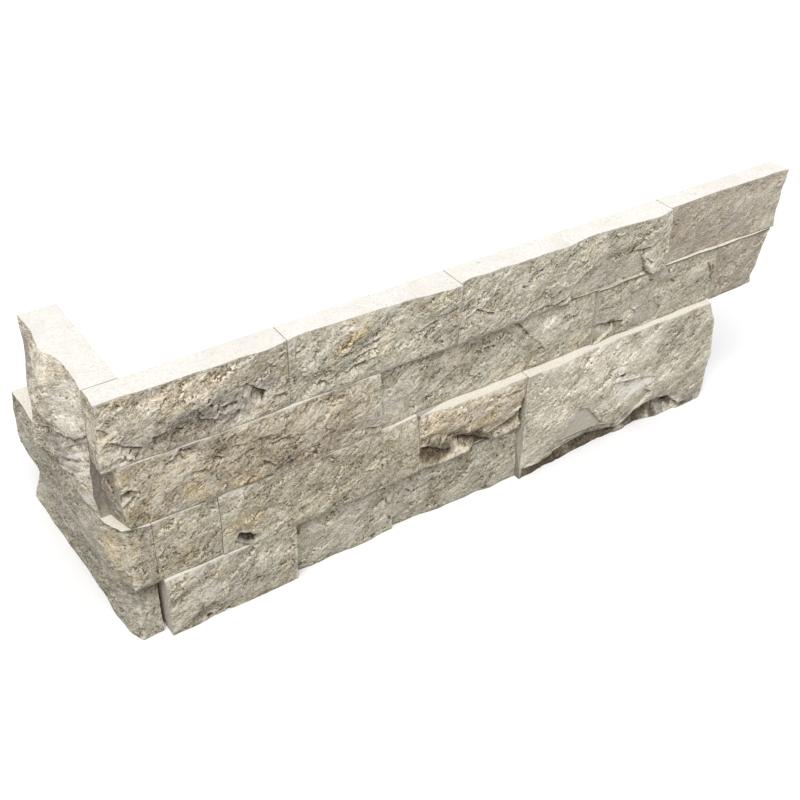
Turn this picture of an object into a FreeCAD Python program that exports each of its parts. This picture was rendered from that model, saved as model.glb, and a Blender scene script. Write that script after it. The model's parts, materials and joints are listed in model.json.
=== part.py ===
import FreeCAD
import Part
import math
import os

# Corner piece of split-face ledge stone: sawn strips of stone, resin-bonded in four courses,
# that wrap the outside corner of a wall with one long arm and one short return.
#
# Millimetres, Z up. The origin is the inner corner at the base: the long arm runs along +X with
# its flat back on y = 0, and the return runs along +Y with its flat back on x = 0.

# Sawn sizes that all stones share
course_rise = 37.8
joint = 0.4
corner_gap = 2.4

# Resin in the joints: how deep it reaches from the back, and how far it stops short of an edge
resin_depth = 9.0
resin_setback = 1.0

# Split faces: size of a facet, fewest facets along a face, up a face and across a split end, the
# least thickness that any hollow leaves, and the share of a ledge that it fades out over
facet_length = 4.9
facet_rise = 4.7
fewest_along = 3
fewest_up = 4
fewest_across = 2
least_thickness = 10.2
ledge_fade = 1 / 6

# Corners closer than this are one point
same_point = 1e-6

# Long arm, top course: where it starts past the wall corner, then each stone's length
top_reach = 19.6
top_1_length = 99.2
top_2_length = 100.9
top_3_length = 151.4
top_4_length = 97.8

# Long arm, upper course
upper_reach = 15.6
upper_1_length = 148.1
upper_2_length = 149.9
upper_3_length = 96.2
upper_4_length = 45.4

# Long arm, lower course, which starts at the side of the return's lower stone
lower_1_length = 35.3
lower_2_length = 121.3
lower_3_length = 73.4

# Long arm, base course: its third stone closes up to the tall stone
base_1_length = 75.4
base_2_length = 64.6

# Tall stone at the foot of the long arm, two courses high
tall_length = 159.0

# Short return: a tall stone over two long ones that pass the wall corner
return_tall_length = 75.0
return_lower_length = 142.3
return_lower_reach = 17.8
return_base_length = 138.2
return_base_reach = 14.4

# Natural ripple of a split face: wavelength, height and lean in degrees of each train of waves
ripples = [
    (47.0, 0.30, 62.0),
    (31.0, 0.26, 104.0),
    (23.0, 0.22, 35.0),
    (17.0, 0.20, 78.0),
    (13.0, 0.16, 128.0),
]
ripple_phase = 2.399


def between(rows, distance):
    """Upper, middle and lower thickness at a distance along a profile, held level past its ends."""
    if distance <= rows[0][0]:
        return rows[0][1:]
    for near, far in zip(rows, rows[1:]):
        if distance <= far[0]:
            share = (distance - near[0]) / (far[0] - near[0])
            return tuple(a + share * (b - a) for a, b in zip(near[1:], far[1:]))
    return rows[-1][1:]


def bowed(levels, rise_share):
    """Value at a share of the height, on the curve through the upper, middle and lower values."""
    upper, middle, lower = levels
    straight = lower + rise_share * (upper - lower)
    bow = middle - (upper + lower) / 2
    return straight + bow * 4 * rise_share * (1 - rise_share)


def swell(along, up, feature):
    """Rounded rise, or a hollow where the height is negative."""
    centre_along, centre_up, half_along, half_up, lean, height = feature
    turn = math.radians(lean)
    across = (along - centre_along) * math.cos(turn) + (up - centre_up) * math.sin(turn)
    over = (up - centre_up) * math.cos(turn) - (along - centre_along) * math.sin(turn)
    return height * math.exp(-((across / half_along) ** 2) - (over / half_up) ** 2)


def ledge(along, up, feature):
    """Undercut below a line: the face steps back there and comes out again further down."""
    from_along, from_up, to_along, to_up, reach, drop = feature
    share = (along - from_along) / (to_along - from_along)
    line_up = from_up + share * (to_up - from_up)
    below = (line_up - up) / reach
    if not 0 <= share <= 1 or not 0 < below < 1:
        return 0.0
    fade = min(1.0, share / ledge_fade, (1 - share) / ledge_fade)
    return -drop * fade * (1 - below)


def ripple(along, up, seed):
    """Sum of leaning wave trains, shifted from stone to stone by the seed."""
    total = 0.0
    for number, (wavelength, height, lean) in enumerate(ripples):
        turn = math.radians(lean)
        phase = ripple_phase * seed * (number + 1)
        travel = along * math.cos(turn) + up * math.sin(turn)
        total += height * math.sin(2 * math.pi * travel / wavelength + phase)
    return total


def relief(along, up, stone):
    """Height of the split surface over its profile."""
    total = ripple(along, up, stone["seed"])
    total += sum(swell(along, up, feature) for feature in stone["swells"])
    total += sum(ledge(along, up, feature) for feature in stone["ledges"])
    return total


def end_columns(stone, along):
    """How many facets cover a split end, by the stone's middle thickness there."""
    return round(max(fewest_across, between(stone["face"], along)[1] / facet_length))


def split_row(stone, rise_share):
    """One level line round the split faces, as (along, out) pairs from the left end to the right."""
    up = rise_share * stone["rise"]
    length = stone["length"]
    left_thickness = bowed(between(stone["face"], 0), rise_share)
    right_thickness = bowed(between(stone["face"], length), rise_share)
    left_inset = right_inset = 0.0
    if stone["left"]:
        left_inset = bowed(between(stone["left"], left_thickness), rise_share)
    if stone["right"]:
        right_inset = bowed(between(stone["right"], right_thickness), rise_share)
    row = []
    if stone["left"]:
        columns = end_columns(stone, 0)
        for column in range(columns):
            out = left_thickness * column / columns
            inset = bowed(between(stone["left"], out), rise_share)
            row.append((inset - relief(out - left_thickness, up, stone), out))
    columns = round(max(fewest_along, length / facet_length))
    for column in range(columns + 1):
        along = left_inset + (length - right_inset - left_inset) * column / columns
        height = relief(along, up, stone)
        side = 0.0
        if stone["left"] and column == 0:
            side = -height
        if stone["right"] and column == columns:
            side = height
        out = max(least_thickness, bowed(between(stone["face"], along), rise_share) + height)
        row.append((along + side, out))
    if stone["right"]:
        columns = end_columns(stone, length)
        for column in range(1, columns + 1):
            out = right_thickness * (1 - column / columns)
            inset = bowed(between(stone["right"], out), rise_share)
            height = relief(length + right_thickness - out, up, stone)
            row.append((length - inset + height, out))
    return row


def flat_face(points):
    """Plane face with the given corners, without repeated ones."""
    corners = [points[0]]
    for point in points[1:]:
        if point.distanceToPoint(corners[-1]) > same_point:
            corners.append(point)
    if corners[-1].distanceToPoint(corners[0]) < same_point:
        corners.pop()
    return Part.Face(Part.makePolygon(corners + corners[:1]))


def place(arm, along, out, up):
    """Point of an arm: the long arm runs along X and faces -Y, the return runs along Y and faces -X."""
    if arm == "long":
        return FreeCAD.Vector(along, -out, up)
    return FreeCAD.Vector(-out, along, up)


def closed_solid(faces):
    """Solid bounded by the faces, turned so that they point outwards."""
    solid = Part.Solid(Part.makeShell(faces))
    if solid.Volume < 0:
        solid.reverse()
    return solid


def split_stone(stone):
    """Stone with split faces and sawn beds, back and joints."""
    rows_up = round(max(fewest_up, stone["rise"] / facet_rise))
    grid = []
    for number in range(rows_up + 1):
        share = number / rows_up
        up = stone["base"] + share * stone["rise"]
        row = split_row(stone, share)
        grid.append([place(stone["arm"], stone["start"] + along, out, up) for along, out in row])
    faces = []
    for number, (low, high) in enumerate(zip(grid, grid[1:])):
        for column in range(len(low) - 1):
            a, b = low[column], low[column + 1]
            c, d = high[column + 1], high[column]
            if (number + column) % 2:
                faces += [flat_face([a, b, c]), flat_face([a, c, d])]
            else:
                faces += [flat_face([a, b, d]), flat_face([b, c, d])]
    start = stone["start"]
    end = start + stone["length"]
    corners = []
    for row, up in ((grid[0], stone["base"]), (grid[-1], stone["base"] + stone["rise"])):
        left = row[0] if stone["left"] else place(stone["arm"], start, 0, up)
        right = row[-1] if stone["right"] else place(stone["arm"], end, 0, up)
        faces.append(flat_face([left] + row + [right]))
        corners.append((left, right))
    left_edge = [corners[0][0], corners[1][0]]
    right_edge = [corners[0][1], corners[1][1]]
    if stone["left"]:
        left_edge = [row[0] for row in grid]
    else:
        faces.append(flat_face(left_edge + [row[0] for row in reversed(grid)]))
    if stone["right"]:
        right_edge = [row[-1] for row in grid]
    else:
        faces.append(flat_face(right_edge + [row[-1] for row in reversed(grid)]))
    faces.append(flat_face(left_edge + right_edge[::-1]))
    return closed_solid(faces)


def course_base(course):
    """Height of a course's lower bed, counted from 0 at the base."""
    return course * (course_rise + joint)


def courses_rise(courses):
    """Height of a stone that spans so many courses."""
    return courses * course_rise + (courses - 1) * joint


def shaped(arm, start, length, course, seed, face, courses=1, left=(), right=(), swells=(), ledges=()):
    """Everything that shapes one stone. Profiles are (distance, upper, middle, lower) rows."""
    return {
        "arm": arm,
        "start": start,
        "length": length,
        "end": start + length,
        "base": course_base(course),
        "rise": courses_rise(courses),
        "seed": seed,
        "face": face,
        "left": left,
        "right": right,
        "swells": swells,
        "ledges": ledges,
    }


def top_course():
    first = shaped(
        "long", -top_reach, top_1_length, 3, 1,
        face=[(0, 14.0, 14.8, 14.9), (16, 13.6, 15.6, 15.2), (30, 14.7, 15.9, 15.6),
              (50, 14.9, 15.0, 15.3), (70, 15.0, 15.0, 15.5), (88, 16.1, 15.4, 15.3),
              (99, 13.7, 14.6, 14.7)],
        left=[(0, 1.7, 1.2, 0.6), (14, 1.6, 0.8, 0.0)],
        swells=[(24, 26, 16, 8, 15, 1.2), (60, 30, 14, 7, 18, 0.9), (78, 12, 9, 6, 20, -1.4)],
        ledges=[(2, 15, 32, 5, 6, 2.2), (26, 12, 58, 9, 8, 2.4), (74, 21, 92, 14, 7, 2.0)],
    )
    second = shaped(
        "long", first["end"] + joint, top_2_length, 3, 2,
        face=[(0, 13.7, 14.6, 14.7), (8, 12.9, 14.2, 14.7), (30, 13.8, 14.8, 15.3),
              (52, 13.9, 15.6, 15.2), (76, 15.0, 14.6, 15.8), (88, 16.4, 15.2, 16.2),
              (93, 18.1, 16.4, 16.2), (101, 18.5, 17.2, 16.1)],
        swells=[(42, 30, 10, 7, 35, 1.3), (84, 26, 7, 12, 12, 1.0)],
        ledges=[(22, 5, 58, 23, 6, 2.4), (36, 17, 66, 33, 6, 1.8)],
    )
    third = shaped(
        "long", second["end"] + joint, top_3_length, 3, 3,
        face=[(0, 16.4, 16.4, 16.1), (7, 14.4, 15.8, 15.9), (20, 15.0, 16.2, 16.0),
              (27, 13.7, 15.8, 16.4), (39, 15.2, 16.0, 15.9), (60, 14.6, 15.0, 15.4),
              (72, 16.6, 16.2, 15.8), (82, 14.4, 15.4, 16.0), (96, 14.2, 15.2, 16.4),
              (115, 14.8, 14.6, 16.4), (125, 15.7, 15.6, 16.5), (140, 16.4, 16.6, 16.8),
              (151, 14.6, 15.8, 17.1)],
        swells=[(64, 28, 12, 9, 20, 1.2), (118, 10, 17, 7, 6, -1.5), (142, 28, 9, 8, 0, 0.9)],
        ledges=[(80, 2, 100, 23, 7, 2.2), (98, 24, 138, 17, 7, 2.2)],
    )
    fourth = shaped(
        "long", third["end"] + joint, top_4_length, 3, 4,
        face=[(0, 12.5, 12.4, 12.4), (16, 12.1, 12.6, 12.4), (33, 12.4, 12.9, 12.4),
              (50, 12.7, 12.8, 12.6), (66, 12.9, 13.0, 12.8), (84, 12.4, 13.2, 13.4),
              (98, 13.4, 13.8, 14.1)],
        right=[(0, 1.7, 3.0, 4.2), (14, 0.0, 1.4, 3.6)],
        swells=[(58, 20, 20, 10, 70, 0.8)],
    )
    return [first, second, third, fourth]


def upper_course():
    first = shaped(
        "long", -upper_reach, upper_1_length, 2, 5,
        face=[(0, 15.2, 15.6, 15.8), (20, 15.6, 16.2, 16.0), (65, 15.8, 16.6, 15.7),
              (87, 15.8, 17.0, 17.4), (110, 15.6, 16.8, 17.4), (135, 15.6, 17.4, 16.6),
              (148, 15.8, 17.0, 16.7)],
        left=[(0, 0.4, 0.0, 2.2), (9, 1.6, 1.4, 3.6), (15, 3.2, 3.6, 5.4)],
        swells=[(40, 22, 16, 9, 12, 0.9), (104, 25, 14, 7, 20, 0.9), (136, 24, 8, 9, 10, 1.2)],
        ledges=[(4, 20, 18, 25, 5, 1.6), (32, 36, 62, 30, 5, 1.5), (66, 19, 92, 29, 6, 2.0),
                (96, 5, 134, 12, 6, 1.8)],
    )
    second = shaped(
        "long", first["end"] + joint, upper_2_length, 2, 6,
        face=[(0, 11.8, 13.2, 13.7), (14, 11.6, 13.0, 13.5), (30, 11.4, 12.4, 12.1),
              (54, 11.4, 12.6, 12.7), (82, 11.6, 12.8, 12.8), (97, 11.2, 12.4, 12.4),
              (112, 11.8, 13.0, 13.2), (135, 12.2, 13.2, 13.1), (150, 11.6, 12.4, 12.6)],
        swells=[(30, 20, 14, 8, 10, 0.6), (124, 22, 16, 9, 40, 1.0)],
        ledges=[(92, 31, 116, 17, 6, 1.4), (126, 14, 148, 26, 6, 1.2)],
    )
    third = shaped(
        "long", second["end"] + joint, upper_3_length, 2, 7,
        face=[(0, 14.6, 15.0, 14.2), (20, 14.2, 14.4, 12.6), (40, 13.9, 14.4, 13.4),
              (55, 13.7, 13.4, 12.8), (80, 13.9, 14.2, 13.2), (96, 14.2, 14.0, 13.6)],
        swells=[(16, 26, 12, 8, 15, 0.9), (44, 12, 10, 9, 55, -1.2), (84, 22, 12, 8, 20, 0.8)],
        ledges=[(2, 16, 30, 7, 7, 2.4), (38, 33, 62, 22, 7, 1.6)],
    )
    fourth = shaped(
        "long", third["end"] + joint, upper_4_length, 2, 8,
        face=[(0, 14.4, 14.2, 13.6), (18, 14.6, 14.6, 13.8), (36, 14.5, 14.2, 13.4),
              (45, 14.7, 13.6, 12.8)],
        right=[(0, 0.5, 4.2, 5.6), (14, 0.0, 4.4, 6.2)],
    )
    return [first, second, third, fourth]


def lower_course():
    first = shaped(
        "long", joint, lower_1_length, 1, 9,
        face=[(0, 16.2, 17.2, 17.6), (18, 16.2, 17.4, 17.9), (35, 16.0, 17.2, 18.0)],
        swells=[(18, 15, 12, 7, 25, 0.7)],
    )
    second = shaped(
        "long", first["end"] + joint, lower_2_length, 1, 10,
        face=[(0, 16.0, 17.4, 18.2), (12, 16.2, 18.0, 18.5), (32, 16.8, 18.2, 19.2),
              (57, 16.6, 17.8, 18.0), (82, 16.4, 17.6, 18.1), (96, 15.9, 17.6, 18.6),
              (121, 15.6, 17.0, 17.6)],
        swells=[(14, 22, 12, 8, 40, 0.8), (64, 22, 18, 9, 15, 0.7)],
        ledges=[(4, 11, 24, 9, 6, 2.2)],
    )
    third = shaped(
        "long", second["end"] + joint, lower_3_length, 1, 11,
        face=[(0, 16.2, 16.8, 17.0), (14, 16.6, 17.6, 17.4), (28, 17.2, 18.2, 17.6),
              (45, 18.0, 18.2, 16.6), (60, 18.6, 17.6, 16.9), (73, 18.5, 17.2, 16.7)],
        swells=[(18, 28, 12, 7, 5, 1.0)],
        ledges=[(1, 24, 22, 19, 14, 5.2), (18, 17, 52, 9, 12, 5.6), (48, 9, 72, 20, 9, 4.2)],
    )
    return [first, second, third]


def base_course(tall_start):
    first = shaped(
        "long", corner_gap, base_1_length, 0, 12,
        face=[(0, 18.3, 19.9, 20.4), (15, 18.5, 20.1, 20.4), (39, 18.6, 20.0, 20.1),
              (58, 18.7, 19.8, 19.7), (75, 18.8, 19.4, 18.6)],
        swells=[(22, 6, 5, 4, 0, -1.8), (33, 4, 4, 4, 0, -1.2), (52, 20, 20, 9, 25, 0.5)],
    )
    second_start = first["end"] + joint
    second = shaped(
        "long", second_start, base_2_length, 0, 13,
        face=[(0, 13.6, 14.4, 14.0), (10, 13.8, 14.8, 14.6), (23, 13.6, 14.6, 14.4),
              (27, 13.6, 14.4, 13.7), (42, 13.8, 15.0, 15.1), (49, 13.8, 15.0, 15.3),
              (57, 13.2, 14.2, 13.7), (65, 12.8, 13.8, 13.9)],
        swells=[(4, 28, 4, 6, 0, -1.6), (26, 16, 9, 10, 30, 0.8)],
        ledges=[(32, 15, 60, 30, 7, 1.6)],
    )
    third_start = second["end"] + joint
    third = shaped(
        "long", third_start, tall_start - joint - third_start, 0, 14,
        face=[(0, 12.2, 12.2, 11.4), (14, 12.4, 13.0, 12.0), (26, 12.8, 13.8, 14.1),
              (41, 13.0, 14.2, 14.0), (48, 13.2, 14.4, 14.7), (56, 13.2, 14.2, 13.9),
              (70, 13.2, 14.4, 15.2), (78, 13.0, 14.2, 14.1), (88, 13.0, 14.4, 14.3)],
        swells=[(60, 1, 3, 3, 0, -1.6), (70, 18, 14, 8, 10, 0.6)],
        ledges=[(10, 24, 44, 27, 6, 1.6)],
    )
    return [first, second, third]


def tall_stone(tall_start):
    return shaped(
        "long", tall_start, tall_length, 0, 15, courses=2,
        face=[(0, 18.8, 19.2, 19.3), (10, 19.0, 19.8, 19.6), (22, 20.0, 20.2, 17.6),
              (35, 18.6, 20.2, 16.8), (48, 17.4, 19.8, 15.6), (70, 16.9, 19.4, 15.2),
              (84, 16.6, 19.4, 16.4), (100, 16.6, 19.6, 14.6), (112, 17.2, 19.0, 17.4),
              (128, 18.0, 18.6, 17.8), (147, 17.9, 17.8, 17.4), (159, 17.4, 16.8, 16.6)],
        right=[(0, 11.0, 2.5, 6.0), (17, 11.5, 1.4, 4.8)],
        swells=[(34, 46, 18, 14, 15, 0.8), (86, 50, 9, 7, 10, 1.0), (48, 26, 11, 12, 60, -0.8),
                (96, 20, 12, 8, 50, -1.4), (113, 7, 9, 6, 15, -3.4), (128, 46, 20, 12, 20, 0.9)],
        ledges=[(16, 7, 42, 13, 9, 3.0), (34, 13, 66, 10, 11, 4.4), (60, 9, 88, 7, 8, 3.6),
                (104, 18, 130, 9, 11, 3.6), (74, 49, 92, 53, 5, 1.4)],
    )


def return_stones():
    base = shaped(
        "return", -return_base_reach, return_base_length, 0, 16,
        face=[(0, 11.0, 11.0, 11.0), (8, 14.4, 14.6, 15.0), (20, 15.4, 15.6, 16.0),
              (60, 15.6, 15.8, 16.1), (101, 15.0, 15.6, 17.2), (120, 13.0, 14.6, 17.3),
              (138, 10.6, 13.1, 17.4)],
        left=[(0, 1.4, 1.2, 0.6), (11, 1.0, 0.4, 0.0)],
        swells=[(40, 14, 18, 8, 25, 0.6), (90, 24, 20, 8, 25, 0.5)],
    )
    lower = shaped(
        "return", -return_lower_reach, return_lower_length, 1, 17,
        face=[(0, 12.6, 12.8, 12.6), (5, 13.5, 14.0, 14.2), (15, 18.6, 18.2, 17.2),
              (30, 19.0, 19.4, 18.6), (60, 19.0, 20.0, 19.0), (90, 18.8, 19.6, 18.6),
              (117, 18.6, 19.6, 19.4), (142, 19.0, 19.8, 19.6)],
        left=[(0, 1.2, 0.6, 0.2), (6, 2.4, 0.8, 0.2), (13, 4.8, 2.0, 0.4)],
        swells=[(70, 20, 22, 8, 25, 0.6), (-6, 22, 6, 7, 0, 0.8)],
        ledges=[(26, 22, 70, 34, 6, 1.2), (60, 10, 110, 22, 6, 1.2)],
    )
    tall = shaped(
        "return", joint, return_tall_length, 2, 18, courses=2,
        face=[(0, 17.9, 19.4, 19.0), (6, 17.4, 20.0, 19.6), (16, 16.4, 20.6, 20.6),
              (27, 17.0, 21.0, 20.4), (34, 18.8, 21.6, 20.2), (40, 23.2, 22.4, 19.8),
              (45, 21.4, 22.6, 19.4), (58, 19.3, 22.4, 20.6), (65, 20.3, 21.4, 22.4),
              (75, 19.9, 21.0, 24.6)],
        swells=[(44, 56, 6, 20, -20, 1.6), (60, 34, 7, 16, -35, 1.2), (18, 52, 16, 14, 0, -0.8)],
        ledges=[(0, 42, 34, 32, 16, 2.6), (26, 34, 66, 21, 14, 3.0)],
    )
    return [base, lower, tall]


def resin(arm, from_along, to_along, from_up, to_up):
    """Resin in a joint: as deep as the others, and short of the back by the setback."""
    reach = to_along - from_along
    depth = resin_depth - resin_setback
    corner = place(arm, from_along, resin_depth, from_up)
    if arm == "long":
        return Part.makeBox(reach, depth, to_up - from_up, corner)
    return Part.makeBox(depth, reach, to_up - from_up, corner)


def inset(item, end, upper):
    """How far the split end of a stone stands in from its full length at its upper or lower bed."""
    rows = item[end]
    if not rows:
        return 0.0
    column = 1 if upper else 3
    return max(row[column] for row in rows)


def bed(arm, under, over, from_along=None, to_along=None):
    """Resin bed between two courses, where both reach, unless a joint beside it says where it ends."""
    if from_along is None:
        low_start = under[0]["start"] + inset(under[0], "left", True)
        high_start = over[0]["start"] + inset(over[0], "left", False)
        from_along = max(low_start, high_start) + resin_setback
    if to_along is None:
        low_end = under[-1]["end"] - inset(under[-1], "right", True)
        high_end = over[-1]["end"] - inset(over[-1], "right", False)
        to_along = min(low_end, high_end) - resin_setback
    up = over[0]["base"]
    return resin(arm, from_along, to_along, up - joint, up)


def head(left_end, right_start, base, rise):
    """Resin in the upright joint between two stones of the long arm."""
    return resin("long", left_end, right_start, max(base, resin_setback), base + rise)


def bonded_courses():
    """All stones and joints, by name."""
    top = top_course()
    upper = upper_course()
    lower = lower_course()
    tall_start = lower[-1]["end"] + joint
    base = base_course(tall_start)
    tall = tall_stone(tall_start)
    return_base, return_lower, return_tall = return_stones()
    stones = {"tall_stone": tall, "return_base_stone": return_base, "return_lower_stone": return_lower,
              "return_tall_stone": return_tall}
    courses = {"top": top, "upper": upper, "lower": lower, "base": base}
    joints = {}
    for name, row in courses.items():
        for number, item in enumerate(row, 1):
            stones["%s_stone_%d" % (name, number)] = item
        for number, (left, right) in enumerate(zip(row, row[1:]), 1):
            solid = head(left["end"], right["start"], left["base"], left["rise"])
            joints["%s_joint_%d" % (name, number)] = solid
    tall_end = tall_start - joint
    joints["tall_joint"] = head(tall_end, tall_start, 0, tall["rise"])
    joints["lower_corner_joint"] = head(0, lower[0]["start"], lower[0]["base"], course_rise)
    joints["base_corner_joint"] = head(0, base[0]["start"], 0, course_rise)
    joints["top_bed"] = bed("long", upper, top)
    upper_left = upper[0]["start"] + inset(upper[0], "left", False) + resin_setback
    joints["upper_bed"] = bed("long", [lower[0], tall], upper, upper_left)
    joints["lower_bed"] = bed("long", base, lower, None, tall_end)
    joints["return_upper_bed"] = bed("return", [return_lower], [return_tall])
    joints["return_lower_bed"] = bed("return", [return_base], [return_lower])
    joints["tall_corner_joint"] = corner_resin(return_tall)
    return stones, joints


def corner_resin(return_tall):
    """Resin between the back of the long arm and the sawn end of the return's tall stone."""
    low = FreeCAD.Vector(-resin_depth, 0, return_tall["base"])
    return Part.makeBox(resin_depth - resin_setback, joint, return_tall["rise"], low)


def main():
    os.makedirs("parts", exist_ok=True)
    stones, joints = bonded_courses()
    for name, stone in stones.items():
        split_stone(stone).exportStep("parts/%s.step" % name)
    for name, solid in joints.items():
        solid.exportStep("parts/%s.step" % name)


main()
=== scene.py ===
import json
import math
import bmesh
import bpy
import numpy as np
from mathutils import Euler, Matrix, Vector


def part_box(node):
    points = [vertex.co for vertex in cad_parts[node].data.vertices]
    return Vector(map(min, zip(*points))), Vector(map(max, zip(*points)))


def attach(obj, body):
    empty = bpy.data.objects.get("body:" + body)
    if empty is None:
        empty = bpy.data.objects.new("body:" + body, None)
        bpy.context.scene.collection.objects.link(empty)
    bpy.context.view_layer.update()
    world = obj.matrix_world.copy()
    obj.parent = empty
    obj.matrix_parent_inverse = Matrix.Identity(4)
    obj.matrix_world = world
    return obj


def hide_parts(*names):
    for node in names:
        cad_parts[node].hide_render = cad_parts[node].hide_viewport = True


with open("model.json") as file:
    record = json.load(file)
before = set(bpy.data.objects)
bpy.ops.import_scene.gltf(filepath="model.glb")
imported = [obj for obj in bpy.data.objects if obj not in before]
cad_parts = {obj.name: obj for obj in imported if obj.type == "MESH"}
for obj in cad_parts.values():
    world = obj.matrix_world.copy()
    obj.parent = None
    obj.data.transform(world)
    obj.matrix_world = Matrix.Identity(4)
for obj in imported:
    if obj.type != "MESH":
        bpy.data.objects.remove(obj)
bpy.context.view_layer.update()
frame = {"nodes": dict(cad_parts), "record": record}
metresPerMm, mmPerMetre = 0.001, 1000.0
print("frame loaded with", len(frame["nodes"]), "nodes")


# Nodes, for shaders and geometry alike

def join(tree, value, socket):  # links a socket, or sets the value
    if isinstance(value, bpy.types.NodeSocket):
        tree.links.new(value, socket)
    else:
        socket.default_value = value


def addNode(tree, kind, values=(), **settings):  # values go to the enabled inputs in their order
    node = tree.nodes.new(kind)
    for name, setting in settings.items():
        setattr(node, name, setting)
    sockets = [socket for socket in node.inputs if socket.enabled]
    for value, socket in zip(values, sockets):
        join(tree, value, socket)
    return node


def fill(tree, node, values):  # values are {input name: value}; gives the outputs
    for name, value in values.items():
        join(tree, value, node.inputs[name])
    return node.outputs


def firstOutput(node):
    return next(socket for socket in node.outputs if socket.enabled)


def calc(tree, operation, *values):
    return firstOutput(addNode(tree, "ShaderNodeMath", values, operation=operation))


def plus(tree, *values):
    return calc(tree, "ADD", *values)


def minus(tree, *values):
    return calc(tree, "SUBTRACT", *values)


def times(tree, *values):
    return calc(tree, "MULTIPLY", *values)


def over(tree, *values):
    return calc(tree, "DIVIDE", *values)


def vectorCalc(tree, operation, *values):
    return firstOutput(addNode(tree, "ShaderNodeVectorMath", values, operation=operation))


def dot(tree, *values):
    return vectorCalc(tree, "DOT_PRODUCT", *values)


def scaled(tree, *values):
    return vectorCalc(tree, "SCALE", *values)


def centred(tree, colour):  # a noise colour, moved to lie around zero
    return vectorCalc(tree, "SUBTRACT", colour, (0.5, 0.5, 0.5))


def axes(tree, vector):
    return addNode(tree, "ShaderNodeSeparateXYZ", [vector]).outputs


def ramp(tree, value, fromLow, fromHigh, toLow=0.0, toHigh=1.0):
    values = (value, fromLow, fromHigh, toLow, toHigh)
    return firstOutput(addNode(tree, "ShaderNodeMapRange", values, interpolation_type="SMOOTHSTEP"))


def noise(tree, vector, scale, detail=3.0, roughness=0.5, distortion=0.0):
    return fill(tree, addNode(tree, "ShaderNodeTexNoise"), {
        "Vector": vector, "Scale": scale, "Detail": detail, "Roughness": roughness, "Distortion": distortion})


def mix(tree, factor, low, high, blend="MIX"):
    return firstOutput(addNode(tree, "ShaderNodeMix", (factor, low, high), data_type="RGBA",
                               blend_type=blend, clamp_factor=True))


def attribute(tree, name, output="Fac"):
    return addNode(tree, "ShaderNodeAttribute", attribute_name=name).outputs[output]


def newGroup(name, kind, inputs, outputs):  # an input is given as its kind, or as the value it starts from
    kinds = {int: "Int", float: "Float", tuple: "Color"}
    tree = bpy.data.node_groups.new(name, kind)
    for label, start in inputs.items():
        isKind = isinstance(start, str)
        socketType = "NodeSocket" + (start if isKind else kinds[type(start)])
        socket = tree.interface.new_socket(label, in_out="INPUT", socket_type=socketType)
        if not isKind:
            socket.default_value = start
    for label, socketType in outputs.items():
        tree.interface.new_socket(label, in_out="OUTPUT", socket_type="NodeSocket" + socketType)
    return tree, tree.nodes.new("NodeGroupInput").outputs, tree.nodes.new("NodeGroupOutput")


def addObject(name, data):
    obj = bpy.data.objects.new(name, data)
    bpy.context.scene.collection.objects.link(obj)
    return obj


# Split faces: a rough band of quads becomes broken stone

splitValues = {
    "levels": 3,
    "stretch": 1.5,       # how much longer the flakes are along the bed than across it
    "lean": 28.0,         # degrees that the flakes climb to the right
    "swell depth": 1.6,   # depths and sizes in mm
    "flake depth": 1.3,
    "facet depth": 0.8,
    "chip depth": 0.2,
    "grain depth": 0.36,
    "pit depth": 0.5,
    "flake size": 13.0,
    "facet size": 9.0,
    "chip size": 3.0,
    "grain size": 1.1,
    "steps": 4.5,         # flakes over the whole depth
    "edge fade": 5.0,     # mm over which movement across a sawn side starts
    "arris fade": 2.4,    # mm from a sawn plane within which the face is calmer
    "arris calm": 0.28,
}
swellSize, wanderSize, pitSize = 19, 3.0, 3.1  # mm
seedShift = (37.3, 11.9, 23.7)                 # mm that each seed moves the pattern
waverScale = 0.14                              # bends to the mm in the edges of single marks


def named(tree, name, kind="FLOAT"):  # a named attribute, read in a geometry tree
    return firstOutput(addNode(tree, "GeometryNodeInputNamedAttribute", [name], data_type=kind))


def valueInput(node):
    return next(socket for socket in node.inputs if socket.name == "Value" and socket.enabled)


def store(tree, geometry, name, value, kind="FLOAT"):
    node = addNode(tree, "GeometryNodeStoreNamedAttribute", data_type=kind, domain="POINT")
    join(tree, value, valueInput(node))
    return fill(tree, node, {"Geometry": geometry, "Name": name})["Geometry"]


def finishTree(tree, geometry, material, result):
    plain = fill(tree, addNode(tree, "GeometryNodeRealizeInstances"), {"Geometry": geometry})[0]
    painted = fill(tree, addNode(tree, "GeometryNodeSetMaterial"), {"Geometry": plain, "Material": material})
    join(tree, painted["Geometry"], result.inputs["Geometry"])


def addFacets(tree, place, wander, size, depth):  # broken flats, each cell tilted its own way
    place = vectorCalc(tree, "ADD", place, scaled(tree, wander, size))
    cells = addNode(tree, "ShaderNodeTexVoronoi")
    cells = fill(tree, cells, {"Vector": place, "Scale": over(tree, 1.0, size)})
    fromCentre = vectorCalc(tree, "SUBTRACT", place, cells["Position"])
    tilt = centred(tree, cells["Color"])
    height = over(tree, dot(tree, fromCentre, tilt), size)
    step = times(tree, axes(tree, tilt)[0], 0.5)
    return times(tree, plus(tree, times(tree, height, 2.0), step), depth)


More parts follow.
